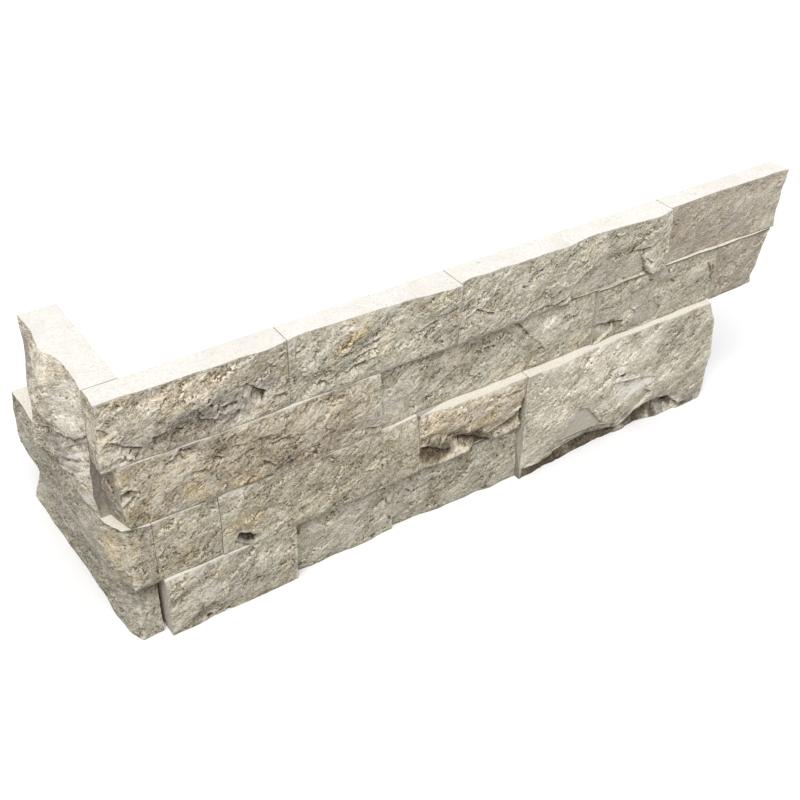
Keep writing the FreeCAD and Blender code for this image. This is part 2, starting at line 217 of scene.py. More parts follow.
def buildSplitTree():
    inputs = {"Geometry": "Geometry", "Along": "Vector", "Out": "Vector", "Material": "Material",
              "Start": 0.0, "End": 100.0, "Start sawn": 1.0, "End sawn": 1.0, "Low": 0.0, "High": 38.0,
              "Seed": 0.0, "Roughness": 1.0}
    inputs.update({name.capitalize(): value for name, value in splitValues.items()})
    tree, given, result = newGroup("split face", "GeometryNodeTree", inputs, {"Geometry": "Geometry"})
    fine = fill(tree, addNode(tree, "GeometryNodeSubdivisionSurface", boundary_smooth="PRESERVE_CORNERS"), {
        "Mesh": given["Geometry"], "Level": given["Levels"], "Edge Crease": named(tree, "crease_edge")})

    place = scaled(tree, addNode(tree, "GeometryNodeInputPosition").outputs[0], mmPerMetre)
    along = dot(tree, place, given["Along"])
    out = dot(tree, place, given["Out"])
    up = dot(tree, place, (0.0, 0.0, 1.0))

    lean = calc(tree, "RADIANS", given["Lean"])
    cosine, sine = calc(tree, "COSINE", lean), calc(tree, "SINE", lean)
    farther = plus(tree, times(tree, along, cosine), times(tree, up, sine))
    higher = minus(tree, times(tree, up, cosine), times(tree, along, sine))
    farther = over(tree, farther, given["Stretch"])
    grain = addNode(tree, "ShaderNodeCombineXYZ", [farther, higher, out]).outputs[0]
    grain = vectorCalc(tree, "ADD", grain, scaled(tree, seedShift, given["Seed"]))

    swell = noise(tree, grain, 1 / swellSize, 2.0)[0]
    swell = times(tree, minus(tree, swell, 0.5), given["Swell depth"])
    flake = noise(tree, grain, over(tree, 1.0, given["Flake size"]), 3.5, 0.55, 0.5)[0]
    flake = times(tree, flake, given["Steps"])
    rise = calc(tree, "POWER", calc(tree, "FRACT", flake), 5.0)
    flake = over(tree, plus(tree, calc(tree, "FLOOR", flake), rise), given["Steps"])
    flake = times(tree, minus(tree, flake, 0.46), given["Flake depth"])
    wander = centred(tree, noise(tree, grain, 1 / wanderSize, 3.0, 0.6)["Color"])
    facets = addFacets(tree, grain, wander, given["Facet size"], given["Facet depth"])
    chips = addFacets(tree, grain, wander, given["Chip size"], given["Chip depth"])
    fineGrain = noise(tree, grain, over(tree, 1.0, given["Grain size"]), 2.0, 0.6)[0]
    fineGrain = times(tree, minus(tree, fineGrain, 0.5), given["Grain depth"])
    pits = noise(tree, grain, 1 / pitSize, 1.0, 0.4, 1.0)[0]
    pits = times(tree, ramp(tree, pits, 0.62, 0.74), given["Pit depth"])
    relief = plus(tree, plus(tree, swell, flake), plus(tree, facets, chips))
    relief = plus(tree, relief, minus(tree, fineGrain, pits))

    underTop, overFoot = minus(tree, given["High"], up), minus(tree, up, given["Low"])
    fromArris = calc(tree, "MINIMUM", overFoot, underTop)
    free = []  # how far sideways moves are allowed, from each end
    for far, sawn in ((minus(tree, along, given["Start"]), "Start sawn"),
                      (minus(tree, given["End"], along), "End sawn")):
        broken = minus(tree, 1.0, given[sawn])
        free.append(calc(tree, "MAXIMUM", ramp(tree, far, 0.0, given["Edge fade"]), broken))
        fromArris = calc(tree, "MINIMUM", fromArris, plus(tree, far, times(tree, broken, 100.0)))
    calm = ramp(tree, fromArris, 0.0, given["Arris fade"], given["Arris calm"], 1.0)
    relief = times(tree, times(tree, relief, given["Roughness"]), calm)

    facing = addNode(tree, "GeometryNodeInputNormal").outputs[0]
    sideways = times(tree, dot(tree, facing, given["Along"]), times(tree, *free))
    outwards = times(tree, dot(tree, facing, given["Out"]), ramp(tree, out, 0.0, given["Edge fade"]))
    direction = vectorCalc(tree, "ADD", scaled(tree, given["Along"], sideways),
                           scaled(tree, given["Out"], outwards))
    waver = centred(tree, noise(tree, scaled(tree, place, waverScale), 1.0, 3.0, 0.6)["Color"])

    geometry = fine["Mesh"]
    for name, value in {"grain": grain, "waver": waver, "facing": facing, "direction": direction}.items():
        geometry = store(tree, geometry, name, value, "FLOAT_VECTOR")
    for name, value in {"relief": relief, "underTop": underTop, "overFoot": overFoot}.items():
        geometry = store(tree, geometry, name, value)

    step = times(tree, named(tree, "relief"), metresPerMm)
    way = scaled(tree, named(tree, "direction", "FLOAT_VECTOR"), step)
    moved = fill(tree, addNode(tree, "GeometryNodeSetPosition"), {"Geometry": geometry, "Offset": way})
    finishTree(tree, moved["Geometry"], given["Material"], result)
    return tree


def buildHollowTree():  # marks how deep each point lies under the surface around it, in mm
    inputs = {"Geometry": "Geometry", "Near": 3, "Far": 24, "Material": "Material"}  # rounds of blur
    tree, given, result = newGroup("hollows", "GeometryNodeTree", inputs, {"Geometry": "Geometry"})
    position = addNode(tree, "GeometryNodeInputPosition").outputs[0]
    facing = named(tree, "facing", "FLOAT_VECTOR")
    geometry = given["Geometry"]
    for name, reach in (("nearHollow", "Near"), ("farHollow", "Far")):
        level = addNode(tree, "GeometryNodeBlurAttribute", data_type="FLOAT_VECTOR")
        join(tree, position, valueInput(level))
        join(tree, given[reach], level.inputs["Iterations"])
        above = vectorCalc(tree, "SUBTRACT", firstOutput(level), position)
        geometry = store(tree, geometry, name, times(tree, dot(tree, above, facing), mmPerMetre))
    finishTree(tree, geometry, given["Material"], result)
    return tree


def runTree(obj, tree, values):  # values are {input name: value}; gives the result as a plain mesh
    modifier = obj.modifiers.new(tree.name, "NODES")
    modifier.node_group = tree
    for item in tree.interface.items_tree:
        if item.item_type == "SOCKET" and item.in_out == "INPUT" and item.name in values:
            modifier[item.identifier] = values[item.name]
    depsgraph = bpy.context.evaluated_depsgraph_get()
    mesh = bpy.data.meshes.new_from_object(obj.evaluated_get(depsgraph), preserve_all_data_layers=True,
                                           depsgraph=depsgraph)
    obj.modifiers.remove(modifier)
    old = obj.data
    obj.data = mesh
    bpy.data.meshes.remove(old)
    return mesh


# Materials

stoneColours = {  # light, middle and dark of each split face
    "stone_taupe": ((0.88, 0.83, 0.705), (0.60, 0.55, 0.422), (0.155, 0.127, 0.084)),
    "stone_brown": ((0.81, 0.74, 0.61), (0.56, 0.49, 0.375), (0.18, 0.143, 0.105)),
    "stone_ochre": ((0.89, 0.83, 0.705), (0.58, 0.51, 0.39), (0.145, 0.112, 0.074)),
    "stone_grey": ((0.82, 0.77, 0.65), (0.535, 0.485, 0.37), (0.14, 0.118, 0.086)),
}
# Colour patches: real staining of the stone, and painted light and shade in the pale, grey, chalkHighlight
# and shade kinds
stainsAndShading = {  # a tint multiplies what it covers, a coat hides it; breakup; size of the patches in mm
    # pale: partly paler stone, partly painted light on faces and bands that stand in the light
    "pale": ("MULTIPLY", (1.24, 1.24, 1.25), 0.6, 4.0),
    "cream": ("MULTIPLY", (1.15, 1.10, 1.0), 0.9, 4.0),
    "ochre": ("MULTIPLY", (1.02, 0.93, 0.78), 0.9, 4.0),
    # grey: partly greyer stone, partly painted shade on ends and undersides turned from the light
    "grey": ("MULTIPLY", (0.61, 0.61, 0.64), 0.8, 3.0),
    "white": ("MULTIPLY", (1.36, 1.37, 1.40), 0.5, 3.0),
    # chalkHighlight: a pale coat, partly scuffed white stone, partly painted highlight on facets and lips
    # turned to the light
    "chalkHighlight": ("MIX", (0.97, 0.935, 0.84), 0.9, 3.0),
    "brown": ("MIX", (0.24, 0.13, 0.06), 0.3, 4.0),
    "resin": ("MIX", (0.24, 0.15, 0.055), 0.1, 4.0),
    # shade: painted shade in crevices, hollows, undersides and gaps
    "shade": ("MULTIPLY", (0.18, 0.155, 0.125), 0.3, 4.0),
}
bumps = {"split": (0.9, 0.0008), "sawn": (0.4, 0.0005), "resin": (0.4, 0.0004)}  # strength, and metres deep
stoneGloss = 0.3


def opaque(colour):
    return (*colour, 1.0)


# How much each kind of mark swings the tone between dark, middle and light; sunk and deep darken the points
# that lie in hollows, as painted shade
toneValues = {"clouds": 1.9, "flecks": 1.9, "specks": 2.3, "sunk": 1.2, "deep": 0.35}
fleckSizes = {"bend": 9, "clouds": 16, "flecks": 2.6, "specks": 0.85, "warmth": 12}  # mm
bendReach = 7.0  # mm that flecks wander from the straight
# scuffHighlight colours the light top edges, partly scuffing and partly painted highlight; shadeTint is the
# colour of painted shade
tints = {"flat": (0.97, 0.975, 1.04, 1.0), "warm": (1.05, 0.99, 0.88, 1.0), "cool": (0.88, 0.87, 0.89, 1.0),
         "scuffHighlight": (0.84, 0.81, 0.74, 1.0), "shadeTint": (0.22, 0.20, 0.18, 1.0)}
edgeValues = {"width": 1.3, "top": 0.8, "foot": 0.45}  # mm, and how strongly the light top edge (scuffing and painted highlight) and the painted shade at the foot show


def buildFlecks():  # light and dark grain that runs with the flakes, and painted shade that darkens the hollows
    inputs = {"Grain": "Vector", "Light": "Color", "Middle": "Color", "Dark": "Color",
              "Near hollow": 0.0, "Far hollow": 0.0, "Smooth": 0.0}
    inputs.update({name.capitalize(): value for name, value in toneValues.items()})
    tree, given, result = newGroup("split stone flecks", "ShaderNodeTree", inputs,
                                   {"Color": "Color", "Height": "Float", "Roughness": "Float"})
    grain = given["Grain"]
    scale = {name: 1 / size for name, size in fleckSizes.items()}
    bend = centred(tree, noise(tree, grain, scale["bend"], 2.0, 0.5)["Color"])
    bent = vectorCalc(tree, "ADD", grain, scaled(tree, bend, bendReach))
    strokes = vectorCalc(tree, "MULTIPLY", bent, (0.8, 1.2, 0.9))
    crumbs = vectorCalc(tree, "MULTIPLY", bent, (1.3, 1.0, 1.0))
    clouds = noise(tree, grain, scale["clouds"], 4.0, 0.6, 0.6)[0]
    flecks = noise(tree, strokes, scale["flecks"], 4.0, 0.62, 0.3)[0]
    specks = noise(tree, crumbs, scale["specks"], 2.0, 0.6)[0]
    rough = minus(tree, 1.0, times(tree, given["Smooth"], 0.75))
    tone = 0.0
    for value, amount in ((clouds, "Clouds"), (flecks, "Flecks"), (specks, "Specks")):
        tone = plus(tree, tone, times(tree, minus(tree, value, 0.5), given[amount]))
    tone = plus(tree, times(tree, tone, rough), 0.52)
    # painted shade: the deeper a point lies in a hollow, the darker its tone
    for hollow, amount in (("Near hollow", "Sunk"), ("Far hollow", "Deep")):
        value = calc(tree, "MINIMUM", calc(tree, "MAXIMUM", given[hollow], -0.6), 2.0)
        tone = minus(tree, tone, times(tree, value, given[amount]))
    tinted = mix(tree, ramp(tree, tone, -0.3, 0.46), given["Dark"], given["Middle"])
    tinted = mix(tree, ramp(tree, tone, 0.45, 0.92), tinted, given["Light"])
    tinted = mix(tree, given["Smooth"], tinted, tints["flat"], "MULTIPLY")
    warmth = axes(tree, noise(tree, grain, scale["warmth"], 3.0, 0.55, 0.8)["Color"])
    for value, low, high, tint in ((warmth[0], 0.52, 0.68, "warm"), (warmth[1], 0.54, 0.70, "cool")):
        amount = ramp(tree, value, low, high, 0.0, 0.6)
        tinted = mix(tree, amount, tinted, tints[tint], "MULTIPLY")
    height = plus(tree, specks, times(tree, flecks, 0.6))
    fill(tree, result, {"Color": tinted, "Height": times(tree, height, rough),
                        "Roughness": ramp(tree, specks, 0.4, 0.7, 0.92, 0.72)})
    return tree


def buildEdges():  # sawn edges: the top edge lighter, partly scuffing and partly painted highlight, or painted shade where another stone stands over them; painted shade along the foot
    inputs = {"Color": "Color", "Grain": "Vector", "Under top": 10.0, "Over foot": 10.0, "Proud": 0.0}
    inputs.update({name.capitalize(): value for name, value in edgeValues.items()})
    tree, given, result = newGroup("sawn edges", "ShaderNodeTree", inputs, {"Color": "Color"})
    patch = noise(tree, given["Grain"], 1 / 3.0, 4.0, 0.6)[0]
    width = times(tree, given["Width"], ramp(tree, patch, 0.35, 0.65, 0.4, 2.6))
    atTop = ramp(tree, over(tree, given["Under top"], width), 1.0, 0.0)
    atFoot = ramp(tree, over(tree, given["Over foot"], width), 1.0, 0.0)
    # painted light on the top edge of a proud stone, partly scuffing and partly highlight
    light = times(tree, times(tree, atTop, given["Top"]), calc(tree, "MAXIMUM", given["Proud"], 0.0))
    # painted shade under an overhanging stone and along the foot of every stone
    overhung = ramp(tree, given["Under top"], times(tree, given["Width"], 1.8), 0.2)
    dark = times(tree, overhung, calc(tree, "MAXIMUM", times(tree, given["Proud"], -1.0), 0.0))
    dark = calc(tree, "MAXIMUM", dark, times(tree, atFoot, given["Foot"]))
    edged = mix(tree, light, given["Color"], tints["scuffHighlight"])
    edged = mix(tree, dark, edged, tints["shadeTint"], "MULTIPLY")
    join(tree, edged, result.inputs["Color"])
    return tree


def buildStainAndShading(name, blend, tint, breakup, patchSize):  # a colour patch whose edge is broken up by the grain; some kinds paint light and shade
    inputs = {"Color": "Color", "Tint": opaque(tint), "Mask": 0.0, "Grain": "Vector",
              "Breakup": breakup, "Patch size": patchSize}
    tree, given, result = newGroup(name + " tinting", "ShaderNodeTree", inputs, {"Color": "Color"})
    patch = noise(tree, given["Grain"], over(tree, 1.0, given["Patch size"]), 5.0, 0.65)[0]
    rough = times(tree, minus(tree, patch, 0.5), given["Breakup"])
    edge = times(tree, given["Mask"], plus(tree, 1.0, times(tree, rough, 5.0)))
    stained = mix(tree, ramp(tree, edge, 0.05, 1.0), given["Color"], given["Tint"], blend)
    join(tree, stained, result.inputs["Color"])
    return tree


def placeGroup(tree, group, values):
    node = tree.nodes.new("ShaderNodeGroup")
    node.node_tree = group
    return fill(tree, node, values)


def newMaterial(name, viewColour):
    material = bpy.data.materials.new(name)
    material.use_nodes = True
    material.diffuse_color = opaque(viewColour)
    tree = material.node_tree
    return material, tree, tree.nodes["Principled BSDF"]


def addBump(tree, shader, height, kind):
    strength, distance = bumps[kind]
    bump = addNode(tree, "ShaderNodeBump")
    fill(tree, bump, {"Strength": strength, "Distance": distance, "Height": height})
    join(tree, bump.outputs["Normal"], shader.inputs["Normal"])


def objectPlace(tree):  # in mm
    return scaled(tree, addNode(tree, "ShaderNodeTexCoord").outputs["Object"], mmPerMetre)


flecksGroup = buildFlecks()
edgesGroup = buildEdges()
stainAndShadingGroups = {name: buildStainAndShading(name, *values) for name, values in stainsAndShading.items()}


def splitStoneMaterial(slot):
    light, middle, dark = (opaque(colour) for colour in stoneColours[slot])
    material, tree, shader = newMaterial("split " + slot.replace("_", " "), stoneColours[slot][1])
    grain = attribute(tree, "grain", "Vector")
    face = placeGroup(tree, flecksGroup, {
        "Grain": grain, "Light": light, "Middle": middle, "Dark": dark,
        "Near hollow": attribute(tree, "nearHollow"), "Far hollow": attribute(tree, "farHollow"),
        "Smooth": attribute(tree, "smooth")})
    colour = placeGroup(tree, edgesGroup, {
        "Color": scaled(tree, face["Color"], attribute(tree, "level")), "Grain": grain,
        "Under top": attribute(tree, "underTop"), "Over foot": attribute(tree, "overFoot"),
        "Proud": attribute(tree, "proud")})["Color"]
    # the colour patches, real staining and painted light and shade alike
    for name, group in stainAndShadingGroups.items():
        values = {"Color": colour, "Mask": attribute(tree, name), "Grain": grain}
        colour = placeGroup(tree, group, values)["Color"]
    fill(tree, shader, {"Base Color": colour, "Roughness": face["Roughness"],
                        "Specular IOR Level": stoneGloss})
    addBump(tree, shader, face["Height"], "split")
    return material


# side and sideShade: the darker colours of upright sawn faces, painted shade where less light reaches them
sawnValues = {"pale": (0.86, 0.84, 0.79), "beige": (0.77, 0.735, 0.67), "pink": (0.80, 0.75, 0.695),
              "pit": (0.30, 0.24, 0.18), "side": (0.64, 0.60, 0.52), "sideShade": (0.46, 0.425, 0.36),
              "ledge": (0.86, 0.82, 0.73), "speck": (0.68, 0.635, 0.57)}
sawnSizes = {"clouds": 22, "blush": 15, "mottle": 1.6, "pit": 1.5, "few": 16, "crumbs": 1.0}  # mm
blushShift = (90.0, 40.0, 10.0)
topCourse = (140.0, 150.0)  # mm up, over which the lower sawn ledges' beige colour, mottled with the darker side colour, gives way to the paler top


def sawnStoneMaterial():
    material, tree, shader = newMaterial("sawn stone", sawnValues["pale"])
    paint = {name: opaque(colour) for name, colour in sawnValues.items()}
    scale = {name: 1 / size for name, size in sawnSizes.items()}
    place = objectPlace(tree)
    clouds = noise(tree, place, scale["clouds"], 5.0, 0.6, 0.8)[0]
    blush = noise(tree, vectorCalc(tree, "ADD", place, blushShift), scale["blush"], 4.0, 0.6, 1.2)[0]
    mottle = noise(tree, place, scale["mottle"], 4.0, 0.65)[0]
    pit = noise(tree, place, scale["pit"], 2.0, 0.5, 1.5)[0]
    few = noise(tree, place, scale["few"], 2.0, 0.5)[0]
    crumbs = noise(tree, place, scale["crumbs"], 4.0, 0.7)[0]
    colour = paint["pale"]
    for pattern, low, high, most, name in (
            (clouds, 0.46, 0.68, 0.7, "beige"), (blush, 0.50, 0.66, 0.4, "pink"),
            (mottle, 0.45, 0.75, 0.5, "beige"), (crumbs, 0.48, 0.70, 0.9, "speck")):
        colour = mix(tree, ramp(tree, pattern, low, high, 0.0, most), colour, paint[name])
    side = mix(tree, ramp(tree, mottle, 0.40, 0.66), paint["side"], paint["sideShade"])
    ledge = mix(tree, ramp(tree, crumbs, 0.40, 0.66), paint["ledge"], paint["side"])
    facing = addNode(tree, "ShaderNodeNewGeometry").outputs["True Normal"]
    colour = mix(tree, ramp(tree, axes(tree, place)[2], *topCourse), ledge, colour)
    # painted shade: upright sawn faces take the darker side colours
    colour = mix(tree, ramp(tree, axes(tree, facing)[2], 0.5, 0.8), side, colour)
    # painted shade: the shade layer darkens sawn faces too
    colour = mix(tree, attribute(tree, "shade"), colour, tints["shadeTint"], "MULTIPLY")
    pitted = times(tree, ramp(tree, pit, 0.66, 0.72), ramp(tree, few, 0.48, 0.58))
    colour = mix(tree, times(tree, pitted, 0.8), colour, paint["pit"])
    fill(tree, shader, {"Base Color": colour, "Roughness": ramp(tree, mottle, 0.3, 0.7, 0.62, 0.82),
                        "Specular IOR Level": stoneGloss})
    addBump(tree, shader, minus(tree, times(tree, mottle, 0.3), pitted), "sawn")
    return material


resinValues = {"clear": (0.20, 0.115, 0.04), "dark": (0.055, 0.03, 0.012), "size": 1.8}  # size in mm


def resinMaterial():
    material, tree, shader = newMaterial("cured resin", resinValues["clear"])
    blotch = noise(tree, objectPlace(tree), 1 / resinValues["size"], 4.0, 0.6, 0.5)[0]
    dark, clear = opaque(resinValues["dark"]), opaque(resinValues["clear"])
    colour = mix(tree, ramp(tree, blotch, 0.4, 0.62), dark, clear)
    fill(tree, shader, {"Base Color": colour, "Roughness": ramp(tree, blotch, 0.35, 0.65, 0.32, 0.6)})
    addBump(tree, shader, blotch, "resin")
    return material


splitMaterials = {slot: splitStoneMaterial(slot) for slot in stoneColours}
sawnStone = sawnStoneMaterial()
curedResin = resinMaterial()
print("materials made")


# Marks that single stones show, all in mm along the arm and up
# ledges: from, to, drop, reach.  hollows: centre, half sizes, lean, depth.
# facets: outline, depth, tilt along, tilt up, calm.  drops, of resin: centre, half sizes, lean, height.
# Each patch kind, by name: centre, half sizes, lean, strength. The pale, grey, chalkHighlight and shade kinds
# carry painted light and shade.
# level: how light the stone is against its slot's colours, partly its own tone and partly painted light and
# shade.  roughness: how deep its relief is.
# calm: how even its colours are.  values: what differs from splitValues.
# proud: above 0 the top edge is painted light, partly scuffing and partly highlight; below 0 it gets painted
# shade from the stone over it.

